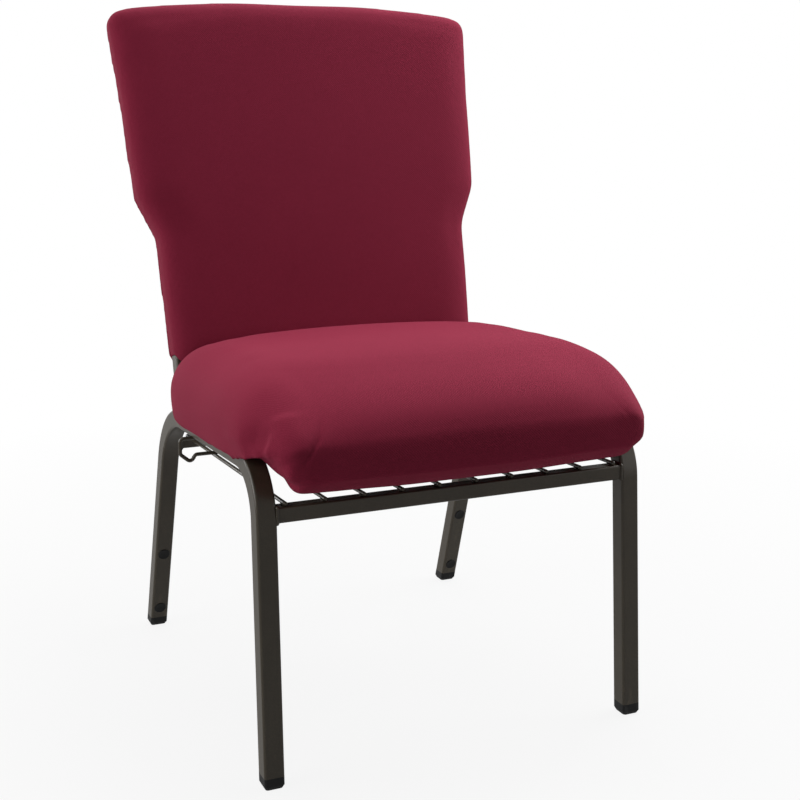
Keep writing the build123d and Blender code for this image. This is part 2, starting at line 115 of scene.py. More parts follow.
def from_line(points: Array, line: Line) -> tuple[Array, Array]:
    """Measures points against a broken line.

    Args:
        points: Positions.
        line: Corners of the line.

    Returns:
        The distance of each point from the line, and its place along it from 0 to 1.
    """
    best = np.full(len(points), np.inf)
    place = np.zeros(len(points))
    count = len(line) - 1
    for index in range(count):
        start, end = np.array(line[index]), np.array(line[index + 1])
        step = end - start
        share = np.clip((points - start) @ step / (step @ step), 0.0, 1.0)
        distance = np.linalg.norm(points - start - share[:, None] * step, axis=1)
        nearer = distance < best
        best = np.where(nearer, distance, best)
        place = np.where(nearer, (index + share) / count, place)
    return best, place


@dataclass(frozen=True)
class Region:
    """A soft region of a cover, where ramps across from the middle, along a plane and out of it meet.

    Args:
        across: Where the weight is 0 and where it is 1, in metres.
        along: The same along the plane.
        out: The same out of the plane.
    """

    across: Span | None = None
    along: Span | None = None
    out: Span | None = None

    def weight(self, local: Array) -> Array:
        """Returns the weight of each point, from 0 to 1."""
        weight = np.ones(len(local))
        for values, span in zip(columns(local), (self.across, self.along, self.out)):
            if span:
                weight = weight * ramp(values, *span)
        return weight


class Piece:
    """Mesh work that the soft pieces and the small trim share."""

    @staticmethod
    def new(name: str, data: ID) -> Object:
        """Returns a new object in the scene that holds a mesh, a lamp or a camera."""
        piece = bpy.data.objects.new(name, data)
        bpy.context.scene.collection.objects.link(piece)
        return piece

    @staticmethod
    def from_bmesh(name: str, body: BMesh) -> Object:
        """Returns a new object with the mesh of a body, which is freed."""
        mesh = bpy.data.meshes.new(name)
        body.to_mesh(mesh)
        body.free()
        return Piece.new(name, mesh)

    @staticmethod
    def copy_of(node: str, name: str) -> Object:
        """Returns a new object with a copy of a CAD node's mesh and no material."""
        mesh = frame["nodes"][node].data.copy()
        mesh.materials.clear()
        mesh.name = name
        return Piece.new(name, mesh)

    @staticmethod
    def read(items: object, name: str) -> Array:
        """Returns a vector of each item of a mesh, as rows."""
        flat = np.empty(len(items) * 3)
        items.foreach_get(name, flat)
        return flat.reshape(-1, 3)

    @staticmethod
    def points(piece: Object) -> Array:
        """Returns the piece's vertex positions."""
        return Piece.read(piece.data.vertices, "co")

    @staticmethod
    def normals(piece: Object) -> Array:
        """Returns the piece's vertex normals."""
        return Piece.read(piece.data.vertex_normals, "vector")

    @staticmethod
    def place(piece: Object, points: Array) -> None:
        """Moves the piece's vertices to the given positions."""
        piece.data.vertices.foreach_set("co", np.asarray(points, dtype=np.float32).ravel())
        piece.data.update()

    @staticmethod
    def swell(piece: Object, height: Array | float) -> None:
        """Moves the piece's vertices along their normals."""
        out = np.asarray(height)[..., None] * Piece.normals(piece)
        Piece.place(piece, Piece.points(piece) + out)

    @staticmethod
    def modify(piece: Object, kind: str, **settings: object) -> Modifier:
        """Returns a new modifier of a piece, with its settings."""
        modifier = piece.modifiers.new(kind.lower(), kind)
        assign(modifier, **settings)
        return modifier

    @staticmethod
    def freeze(piece: Object) -> None:
        """Applies all modifiers of a piece to its mesh."""
        graph = bpy.context.evaluated_depsgraph_get()
        mesh = bpy.data.meshes.new_from_object(piece.evaluated_get(graph))
        old = piece.data
        piece.modifiers.clear()
        piece.data = mesh
        bpy.data.meshes.remove(old)

    @staticmethod
    def shade_smooth(piece: Object) -> None:
        """Shades every face of a piece smooth."""
        piece.data.polygons.foreach_set("use_smooth", [True] * len(piece.data.polygons))

    @staticmethod
    def refine(piece: Object) -> None:
        """Subdivides a piece once, and shades it smooth."""
        Piece.modify(piece, "SUBSURF", levels=1, render_levels=1)
        Piece.freeze(piece)
        Piece.shade_smooth(piece)

    @staticmethod
    def dress(piece: Object, slot: Slot) -> None:
        """Gives a piece the finish of its slot, and lets it ride on the chair."""
        piece.data.materials.clear()
        piece.data.materials.append(FINISHES[slot].material())
        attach(piece, BODY)
        LOG.info("%s: %d vertices", piece.name, len(piece.data.vertices))


@dataclass(frozen=True)
class LocalFrame:
    """A plane of the chair, with its own axes in the row frame.

    Args:
        origin: A point of the plane, in metres.
        along: Unit vector of the plane's second axis.
        normal: Unit vector out of the plane.
    """

    origin: Point
    along: Point
    normal: Point

    def axes(self) -> Array:
        """Returns the three axes as rows."""
        return np.array([(1.0, 0.0, 0.0), self.along, self.normal])

    def to_row(self, points: Array) -> Array:
        """Returns points of the plane's axes in the row frame."""
        return points @ self.axes() + np.array(self.origin)

    def points(self, piece: Object) -> Array:
        """Returns a piece's vertex positions in the plane's axes."""
        return (Piece.points(piece) - np.array(self.origin)) @ self.axes().T

    def place(self, piece: Object, local: Array) -> None:
        """Moves a piece's vertices to positions in the plane's axes."""
        Piece.place(piece, self.to_row(local))


RAIL_SLOPE = math.atan2(0.021, 0.407)
BACK_LEAN = math.radians(15.9)
SEAT_PLANE = LocalFrame(
    (0.0, 0.0, 0.37869),
    (0.0, math.cos(RAIL_SLOPE), -math.sin(RAIL_SLOPE)),
    (0.0, math.sin(RAIL_SLOPE), math.cos(RAIL_SLOPE)),
)
BACK_PLANE = LocalFrame(
    (0.0, 0.165, 0.412),
    (0.0, math.sin(BACK_LEAN), math.cos(BACK_LEAN)),
    (0.0, -math.cos(BACK_LEAN), math.sin(BACK_LEAN)),
)


class EdgeWeb:
    """The edges of a piece's mesh, over which values spread to neighbours."""

    def __init__(self, piece: Object) -> None:
        """Reads the edges, and counts them at each vertex."""
        ends = np.empty(len(piece.data.edges) * 2, dtype=np.int32)
        piece.data.edges.foreach_get("vertices", ends)
        self.first, self.second = ends[0::2], ends[1::2]
        self.count = np.bincount(ends, minlength=len(piece.data.vertices))

    def gather(self, values: Array, total: Array) -> Array:
        """Returns a total to which each vertex has added its neighbours' values."""
        np.add.at(total, self.first, values[self.second])
        np.add.at(total, self.second, values[self.first])
        return total


@dataclass
class Padding:
    """How a padded cover is made from a foam solid: remeshed, smoothed, and blown up as cloth.

    Args:
        voxel: Edge of the cells that the solid is remeshed with, in metres.
        smooth_rounds: Rounds of smoothing before the cover is blown up.
        relax_rounds: Rounds of smoothing after that.
        pressure: Pressure inside the cover.
        frames: Steps of the simulation.
        quality: Smaller steps in each of them.
        mass: Mass of a vertex of the cover, in kilograms.
        cap: Furthest that a point of the cover may move outwards, in metres.
        sink: Furthest that it may move inwards.
        share: Share of the movement that is kept, as the foam resists it.
        even_rounds: Rounds that even the movement out between neighbouring points.
    """

    voxel: float = 0.005
    smooth_rounds: int = 12
    relax_rounds: int = 1
    pressure: float = 4.0
    frames: int = 20
    quality: int = 5
    mass: float = 0.3
    cap: float = 0.006
    sink: float = 0.001
    share: float = 0.7
    even_rounds: int = 10

    def remesh(self, piece: Object) -> None:
        """Turns a solid's mesh into even cells, smoothed."""
        Piece.modify(piece, "REMESH", mode="VOXEL", voxel_size=self.voxel)
        self.relax(piece, self.smooth_rounds)

    @staticmethod
    def relax(piece: Object, rounds: int) -> None:
        """Smooths a piece's mesh by a few rounds."""
        Piece.modify(piece, "SMOOTH", factor=0.5, iterations=rounds)
        Piece.freeze(piece)

    def blow_up(self, piece: Object, held: Array) -> None:
        """Blows the cover up as cloth, keeps the result and smooths it.

        Args:
            piece: The remeshed cover.
            held: A weight for each vertex, 1 where the cover is fastened.
        """
        self.simulate(piece, held)
        self.relax(piece, self.relax_rounds)

    def simulate(self, piece: Object, held: Array) -> None:
        """Runs the cloth, and moves the cover by what the foam lets it. See blow_up."""
        start = Piece.points(piece)
        group = piece.vertex_groups.new(name="held")
        for index in np.nonzero(held > 0.0)[0]:
            group.add([int(index)], float(held[index]), "REPLACE")
        cloth = Piece.modify(piece, "CLOTH")
        assign(
            cloth.settings, quality=self.quality, mass=self.mass, use_pressure=True,
            uniform_pressure_force=self.pressure, vertex_group_mass=group.name,
        )
        cloth.settings.effector_weights.gravity = 0.0
        assign(cloth.point_cache, frame_start=1, frame_end=self.frames)
        scene = bpy.context.scene
        for step in range(1, self.frames + 1):
            scene.frame_set(step)
        graph = bpy.context.evaluated_depsgraph_get()
        blown = Piece.points(piece.evaluated_get(graph))
        piece.modifiers.clear()
        piece.vertex_groups.clear()
        out = np.sum((blown - start) * Piece.normals(piece), axis=1)
        Piece.swell(piece, self.even(piece, np.clip(out, -self.sink, self.cap)) * self.share)
        scene.frame_set(1)

    def even(self, piece: Object, values: Array) -> Array:
        """Returns a value for each vertex, averaged with its neighbours a few times."""
        web = EdgeWeb(piece)
        for _ in range(self.even_rounds):
            values = web.gather(values, values.copy()) / (web.count + 1.0)
        return values

    @staticmethod
    def soften(piece: Object, weights: Array, rounds: int) -> None:
        """Smooths part of a piece's mesh.

        Args:
            piece: The piece.
            weights: A weight for each vertex, 0 where it stays.
            rounds: Rounds of smoothing.
        """
        web = EdgeWeb(piece)
        points = Piece.points(piece)
        for _ in range(rounds):
            middle = web.gather(points, np.zeros_like(points)) / web.count[:, None]
            points = points + 0.5 * weights[:, None] * (middle - points)
        Piece.place(piece, points)


class Neighbours:
    """Rigid pieces that a soft piece keeps clear of."""

    def __init__(self, *nodes: str) -> None:
        """Gathers the named CAD nodes in one search tree."""
        corners: list[Vector] = []
        faces: list[list[int]] = []
        for node in nodes:
            mesh = frame["nodes"][node].data
            first = len(corners)
            corners += [vertex.co.copy() for vertex in mesh.vertices]
            faces += [[first + index for index in face.vertices] for face in mesh.polygons]
        self.tree = BVHTree.FromPolygons(corners, faces)

    def clear(self, points: Array, gap: float, reach: float = 0.012) -> Array:
        """Moves points that lie in or against the pieces to a gap outside them.

        Args:
            points: Vertex positions.
            gap: Distance to keep, in metres.
            reach: Furthest that a point is looked for.

        Returns:
            The positions, with the offending ones moved.
        """
        result = points.copy()
        for index, point in enumerate(points):
            found, normal, _, _ = self.tree.find_nearest(point, reach)
            if found is None:
                continue
            depth = (Vector(point) - found).dot(normal)
            if depth < gap:
                result[index] = found + normal * gap
        return result


class Graph:
    """A short way to write a node tree."""

    def __init__(self, tree: NodeTree) -> None:
        """Starts on a tree."""
        self.tree = tree

    def add(self, kind: str, inputs: dict | None = None, **settings: object) -> Node:
        """Adds a node.

        Args:
            kind: Blender's name of the node type.
            inputs: Input name or index to a value, or to a socket that is linked to it.
            settings: Properties of the node.

        Returns:
            The node.
        """
        node = self.tree.nodes.new(kind)
        assign(node, **settings)
        self.feed(node, inputs or {})
        return node

    def feed(self, node: Node, inputs: dict) -> None:
        """Sets or links inputs of a node. See add."""
        for key, value in inputs.items():
            if isinstance(value, NodeSocket):
                self.tree.links.new(value, node.inputs[key])
            else:
                node.inputs[key].default_value = value

    def math(self, operation: str, first: object, second: object = 0.0) -> NodeSocket:
        """Returns the result of a math node on two values or sockets."""
        return self.add("ShaderNodeMath", {0: first, 1: second}, operation=operation).outputs[0]

    def vector(self, operation: str, first: object, second: object) -> NodeSocket:
        """Returns the result of a math node on two vectors."""
        return self.add("ShaderNodeVectorMath", {0: first, 1: second}, operation=operation).outputs[0]

    def mix(self, share: object, first: object, second: object) -> NodeSocket:
        """Returns a mix of two colours."""
        return self.add("ShaderNodeMix", {0: share, 6: first, 7: second}, data_type="RGBA").outputs[2]

    def noise(self, vector: object, scale: object, detail: object = 4.0) -> NodeSocket:
        """Returns the value of a noise texture."""
        inputs = {"Vector": vector, "Scale": scale, "Detail": detail}
        return self.add("ShaderNodeTexNoise", inputs).outputs[0]

    def spread(
        self, value: object, low: object, high: object, start: object = 0.0, end: object = 1.0
    ) -> NodeSocket:
        """Returns a value from start to end mapped to the range from low to high."""
        inputs = {"Value": value, "From Min": start, "From Max": end, "To Min": low, "To Max": high}
        return self.add("ShaderNodeMapRange", inputs).outputs[0]

    def parts(self, vector: object) -> list[NodeSocket]:
        """Returns the three parts of a vector."""
        return list(self.add("ShaderNodeSeparateXYZ", {0: vector}).outputs)

    def place(self) -> NodeSocket:
        """Returns the place on the piece."""
        return self.add("ShaderNodeTexCoord").outputs["Object"]

    def stretched(self, scale: Point) -> NodeSocket:
        """Returns the place on the piece, scaled along its axes."""
        return self.add("ShaderNodeMapping", {"Vector": self.place(), "Scale": scale}).outputs[0]

    def bump(self, height: object, depth: float, strength: float) -> NodeSocket:
        """Returns the normal of a surface with bumps, whose depth is in metres."""
        inputs = {"Height": height, "Distance": depth, "Strength": strength}
        return self.add("ShaderNodeBump", inputs).outputs[0]


class NodeGroup:
    """A shader node group with named sockets, built once."""

    name = "group"
    takes: dict[str, float] = {}
    gives: tuple[str, ...] = ()

    @classmethod
    def tree(cls) -> NodeTree:
        """Returns the group's tree, and builds it on the first call."""
        found = bpy.data.node_groups.get(cls.name)
        if found:
            return found
        tree = bpy.data.node_groups.new(cls.name, "ShaderNodeTree")
        for socket, value in cls.takes.items():
            made = tree.interface.new_socket(socket, in_out="INPUT", socket_type="NodeSocketFloat")
            made.default_value = value
        for socket in cls.gives:
            tree.interface.new_socket(socket, in_out="OUTPUT", socket_type="NodeSocketFloat")
        graph = Graph(tree)
        source = graph.add("NodeGroupInput")
        graph.add("NodeGroupOutput", cls.build(graph, source.outputs))
        return tree

    @classmethod
    def build(cls, graph: Graph, source: Sockets) -> Sockets:
        """Makes the group's nodes.

        Args:
            graph: The group's tree.
            source: Input name to the socket that gives it.

        Returns:
            Output name to the socket that feeds it.
        """
        raise NotImplementedError

    @classmethod
    def put(cls, graph: Graph, **values: float) -> Sockets:
        """Places the group in a material with its own values, and returns what it gives."""
        inputs = {key.replace("_", " ").capitalize(): value for key, value in values.items()}
        return graph.add("ShaderNodeGroup", inputs, node_tree=cls.tree()).outputs


class PlainWeave(NodeGroup):
    """Over-and-under threads on the three planes of the piece, mixed by the way that the face looks."""

    name = "Plain weave"
    takes = {"Threads per metre": 700.0, "Slub": 0.35}
    gives = ("Height", "Yarn")
    drift_scale = 90.0
    drift_shift = (0.0022, 0.0022, 0.0022)
    plane_power = 4.0
    slub_scale = 420.0
    yarn_relief = 0.1

    @classmethod
    def build(cls, graph: Graph, source: Sockets) -> Sockets:
        """Makes the crossing threads. See NodeGroup.build."""
        place = graph.place()
        drift = graph.add("ShaderNodeTexNoise", {"Vector": place, "Scale": cls.drift_scale, "Detail": 2.0})
        bent = graph.vector("MULTIPLY", drift.outputs[1], cls.drift_shift)
        axes = graph.parts(graph.vector("ADD", place, bent))
        pitch = graph.math("MULTIPLY", source["Threads per metre"], math.pi)
        waves = [graph.math("SINE", graph.math("MULTIPLY", axis, pitch)) for axis in axes]
        facing = graph.parts(graph.add("ShaderNodeNewGeometry").outputs["Normal"])
        shares = [graph.math("POWER", graph.math("ABSOLUTE", part), cls.plane_power) for part in facing]
        total = graph.math("ADD", graph.math("ADD", shares[0], shares[1]), shares[2])
        height: object = 0.0
        for share, (first, second) in zip(shares, ((1, 2), (0, 2), (0, 1))):
            crossing = graph.math("MULTIPLY", waves[first], waves[second])
            height = graph.math("ADD", height, graph.math("MULTIPLY", crossing, share))
        height = graph.math("DIVIDE", height, total)
        slub = graph.noise(place, cls.slub_scale, 3.0)
        yarn = graph.math("MULTIPLY", graph.math("SUBTRACT", slub, 0.5), source["Slub"])
        yarn = graph.math("ADD", graph.math("MULTIPLY", height, cls.yarn_relief), yarn)
        return {"Height": height, "Yarn": graph.math("ADD", yarn, 0.5)}


class ToneDrift(NodeGroup):
    """Broad change of tone over a surface, from handling and dye."""

    name = "Tone drift"
    takes = {"Scale": 9.0, "Depth": 0.2}
    gives = ("Tone",)

    @classmethod
    def build(cls, graph: Graph, source: Sockets) -> Sockets:
        """Makes the slow noise. See NodeGroup.build."""
        slow = graph.math("SUBTRACT", graph.noise(graph.place(), source["Scale"], 3.0), 0.5)
        return {"Tone": graph.math("ADD", graph.math("MULTIPLY", slow, source["Depth"]), 0.5)}


class FineGrain(NodeGroup):
    """Small even bumps, as on powder coat and moulded plastic."""

    name = "Fine grain"
    takes = {"Grains per metre": 900.0, "Softness": 2.0}
    gives = ("Height", "Fleck")
    fleck_size = 0.42

    @classmethod
    def build(cls, graph: Graph, source: Sockets) -> Sockets:
        """Makes the bumps and the flecks among them. See NodeGroup.build."""
        place, grains = graph.place(), source["Grains per metre"]
        bumps = graph.noise(place, grains, source["Softness"])
        cells = graph.add("ShaderNodeTexVoronoi", {"Vector": place, "Scale": grains}).outputs["Distance"]
        fleck = graph.math("GREATER_THAN", graph.math("SUBTRACT", cls.fleck_size, cells), 0.0)
        return {"Height": bumps, "Fleck": graph.math("MULTIPLY", fleck, bumps)}


class Scuffs(NodeGroup):
    """Rub marks that grow towards the floor."""

    name = "Scuffs"
    takes = {"Top": 0.16, "Marks": 60.0}
    gives = ("Rub",)
    streak = (1.0, 1.0, 0.25)
    edge = (0.58, 0.7)

    @classmethod
    def build(cls, graph: Graph, source: Sockets) -> Sockets:
        """Makes streaky marks below the top height. See NodeGroup.build."""
        tall = graph.parts(graph.place())[2]
        low = graph.spread(tall, 0.0, 1.0, source["Top"], 0.0)
        marks = graph.noise(graph.stretched(cls.streak), source["Marks"], 6.0)
        sharp = graph.spread(marks, 0.0, 1.0, *cls.edge)
        return {"Rub": graph.math("MULTIPLY", low, sharp)}


def tint(colour: Colour, factor: float) -> Colour:
    """Returns a colour made lighter or darker by a factor."""
    return (*(factor * part for part in colour[:3]), 1.0)


@dataclass(frozen=True)
class Finish:
    """A finish with its main colours, in linear light, and its gloss.

    Args:
        name: Name of its material.
        colour: Main colour.
        second: Colour of its flecks, yarns or grain.
        roughness: Middle of its roughness.
        swing: How far the roughness goes below and above that.
    """

    name: str
    colour: Colour
    second: Colour
    roughness: float
    swing: Span = (0.1, 0.1)

    def material(self) -> Material:
        """Returns the finish's material, built on the first call."""
        found = bpy.data.materials.get(self.name)
        if found:
            return found
        made = bpy.data.materials.new(self.name)
        made.use_nodes = True
        graph = Graph(made.node_tree)
        graph.feed(made.node_tree.nodes["Principled BSDF"], self.build(graph))
        return made

    def build(self, graph: Graph) -> dict[str, object]:
        """Adds the finish's own nodes to a material's tree.

        Args:
            graph: The material's tree.

        Returns:
            Input name of the shader to a value or a socket.
        """
        raise NotImplementedError

    def blend(self, graph: Graph, share: NodeSocket) -> NodeSocket:
        """Returns a mix of the finish's two colours."""
        return graph.mix(share, self.colour, self.second)

    def rough(self, graph: Graph, value: NodeSocket) -> NodeSocket:
        """Returns a roughness that follows a value from 0 to 1."""
        return graph.spread(value, self.roughness - self.swing[0], self.roughness + self.swing[1])


@dataclass(frozen=True)
class CoverFabric(Finish):
    """Woven upholstery with a soft sheen."""

    swing: Span = (0.08, 0.08)
    threads: float = 620.0

    def build(self, graph: Graph) -> dict[str, object]:
        """Weave, yarn and tone. See Finish.build."""
        weave = PlainWeave.put(graph, threads_per_metre=self.threads, slub=0.9)
        drift = ToneDrift.put(graph, scale=11.0, depth=0.35)
        yarn = self.blend(graph, weave["Yarn"])
        tone = graph.mix(drift["Tone"], tint(self.colour, 0.8), yarn)
        return {
            "Base Color": graph.mix(0.6, yarn, tone),
            "Roughness": self.rough(graph, weave["Yarn"]),
            "Normal": graph.bump(weave["Height"], 0.0004, 0.3),
            "Specular IOR Level": 0.08,
            "Sheen Weight": 0.03,
            "Sheen Roughness": 0.45,
            "Sheen Tint": (0.9, 0.35, 0.48, 1.0),
        }


@dataclass(frozen=True)
class PowderCoat(Finish):
    """Dark bronze powder coat with fine flecks."""

    swing: Span = (0.07, 0.07)

    def build(self, graph: Graph) -> dict[str, object]:
        """Flecks, orange peel and rub marks near the floor. See Finish.build."""
        grain = FineGrain.put(graph, grains_per_metre=700.0, softness=2.5)
        drift = ToneDrift.put(graph, scale=14.0, depth=0.7)
        rub = Scuffs.put(graph, top=0.14, marks=70.0)["Rub"]
        fleck = self.blend(graph, grain["Fleck"])
        tone = graph.mix(drift["Tone"], tint(self.colour, 0.72), fleck)
        faint = graph.math("MULTIPLY", rub, 0.3)
        return {
            "Base Color": graph.mix(faint, tone, tint(self.second, 1.9)),
            "Roughness": self.rough(graph, drift["Tone"]),
            "Normal": graph.bump(grain["Height"], 0.0002, 0.25),
            "Specular IOR Level": 0.42,
            "Coat Weight": 0.1,
            "Coat Roughness": 0.3,
        }


@dataclass(frozen=True)
class MouldedPlastic(Finish):
    """Black moulded plastic with a fine grain."""

    rubbed: Colour = (0.09, 0.09, 0.09, 1.0)

    def build(self, graph: Graph) -> dict[str, object]:
        """Grain and floor rub. See Finish.build."""
        grain = FineGrain.put(graph, grains_per_metre=1500.0, softness=1.0)
        rub = Scuffs.put(graph, top=0.02, marks=160.0)["Rub"]
        tone = self.blend(graph, ToneDrift.put(graph, scale=60.0, depth=0.6)["Tone"])
        return {
            "Base Color": graph.mix(graph.math("MULTIPLY", rub, 0.5), tone, self.rubbed),
            "Roughness": self.rough(graph, grain["Height"]),
            "Normal": graph.bump(grain["Height"], 0.0001, 0.3),
            "Specular IOR Level": 0.3,
        }


@dataclass(frozen=True)
class Plywood(Finish):
    """Plywood with grain along X and plies on its edges."""

    def build(self, graph: Graph) -> dict[str, object]:
        """Grain stretched along the sheet. See Finish.build."""
        grain = graph.noise(graph.stretched((4.0, 60.0, 320.0)), 2.2, 6.0)
        drift = ToneDrift.put(graph, scale=7.0, depth=0.5)
        wood = self.blend(graph, grain)
        shade = graph.mix(drift["Tone"], wood, tint(self.colour, 1.15))
        return {
            "Base Color": graph.mix(0.4, wood, shade),
            "Roughness": self.rough(graph, grain),
            "Normal": graph.bump(grain, 0.0003, 0.4),
        }


@dataclass(frozen=True)
class DustCloth(Finish):
    """Black pressed cloth with a dotted bond pattern."""

    swing: Span = (0.08, 0.08)

    def build(self, graph: Graph) -> dict[str, object]:
        """Loose fibres with a fine weave of bond points. See Finish.build."""
        weave = PlainWeave.put(graph, threads_per_metre=260.0, slub=1.2)
        grain = FineGrain.put(graph, grains_per_metre=350.0, softness=6.0)
        fibres = self.blend(graph, grain["Height"])
        points = graph.math("MULTIPLY", weave["Yarn"], 0.25)
        return {
            "Base Color": graph.mix(points, fibres, self.second),
            "Roughness": self.rough(graph, grain["Height"]),
            "Normal": graph.bump(weave["Height"], 0.0004, 0.5),
        }


@dataclass(frozen=True)
class ZincPlate(Finish):
    """Zinc plated steel, faintly clouded."""

    swing: Span = (0.1, 0.12)

    def build(self, graph: Graph) -> dict[str, object]:
        """Clouds in tone and gloss. See Finish.build."""
        drift = ToneDrift.put(graph, scale=240.0, depth=1.0)
        grain = FineGrain.put(graph, grains_per_metre=2200.0, softness=3.0)
        return {
            "Base Color": self.blend(graph, drift["Tone"]),
            "Roughness": self.rough(graph, drift["Tone"]),
            "Normal": graph.bump(grain["Height"], 0.00005, 0.3),
            "Metallic": 1.0,
        }


FINISHES: dict[Slot, Finish] = {
    Slot.FRAME_METAL: PowderCoat(
        "bronze powder coat", (0.062, 0.050, 0.033, 1.0), (0.110, 0.089, 0.058, 1.0), 0.30
    ),
    Slot.COVER_FABRIC: CoverFabric(
        "maroon weave", (0.190, 0.0132, 0.034, 1.0), (0.285, 0.0245, 0.058, 1.0), 0.86
    ),
    Slot.PLYWOOD: Plywood("plywood", (0.52, 0.36, 0.20, 1.0), (0.38, 0.24, 0.12, 1.0), 0.62),
    Slot.DUST_FABRIC: DustCloth(
        "black dust cloth", (0.010, 0.010, 0.011, 1.0), (0.030, 0.030, 0.032, 1.0), 0.9
    ),
    Slot.BLACK_PLASTIC: MouldedPlastic(
        "black plastic", (0.005, 0.005, 0.005, 1.0), (0.011, 0.011, 0.011, 1.0), 0.5
    ),
    Slot.FASTENER: ZincPlate("zinc plate", (0.58, 0.57, 0.54, 1.0), (0.42, 0.41, 0.38, 1.0), 0.36),
}


@dataclass(frozen=True)
class Fold:
    """A long dent or swelling in a cover, along a line mirrored on both sides of the chair.

    Args:
        line: Corners of its middle line on the right side, in the seat's axes.
        width: Half width, in metres.
        rise: Height, below zero for a dent.
        lap: Height of a lip along its inner side, as in a pleat.
        fade: Share of the line over which the fold starts and ends.
        right_share: How strong the fold is on the right of the chair, against the left.
    """

    line: Line
    width: float
    rise: float
    lap: float = 0.0
    fade: float = 0.25
    right_share: float = 0.0

    def height(self, local: Array) -> Array:
        """Returns how far the fold moves each point along its normal."""
        mirrored = local.copy()
        mirrored[:, 0] = np.abs(mirrored[:, 0])
        distance, place = from_line(mirrored, self.line)
        ends = ramp(place, 0.0, self.fade) * ramp(place, 1.0, 1.0 - self.fade / 2)
        height = self.rise * bell(distance, 0.0, self.width)
        if self.lap:
            marks = np.linspace(0.0, 1.0, len(self.line))
            middle = np.interp(place, marks, [corner[0] for corner in self.line])
            inner = ramp(mirrored[:, 0] - middle, 0.0, -self.width)
            height = height + self.lap * inner * bell(distance, 0.0, 3.0 * self.width)
        return height * ends * np.where(local[:, 0] > 0.0, self.right_share, 1.0)


EAR_DENT = Fold(
    ((0.262, -0.250, 0.012), (0.257, -0.277, 0.018), (0.249, -0.302, 0.012)), 0.015, -0.0060, fade=0.5
)
EAR_SWELL = Fold(
    ((0.222, -0.284, 0.048), (0.226, -0.300, 0.036), (0.229, -0.316, 0.022), (0.228, -0.330, 0.000)),
    0.017, 0.0030,
)
PLEAT = Fold(
    (
        (0.176, -0.292, 0.054), (0.190, -0.314, 0.038), (0.200, -0.330, 0.023),
        (0.210, -0.338, 0.012), (0.220, -0.340, -0.005), (0.226, -0.337, -0.020),
    ),
    0.0036, -0.0024, lap=0.0005, fade=0.45, right_share=0.15,
)


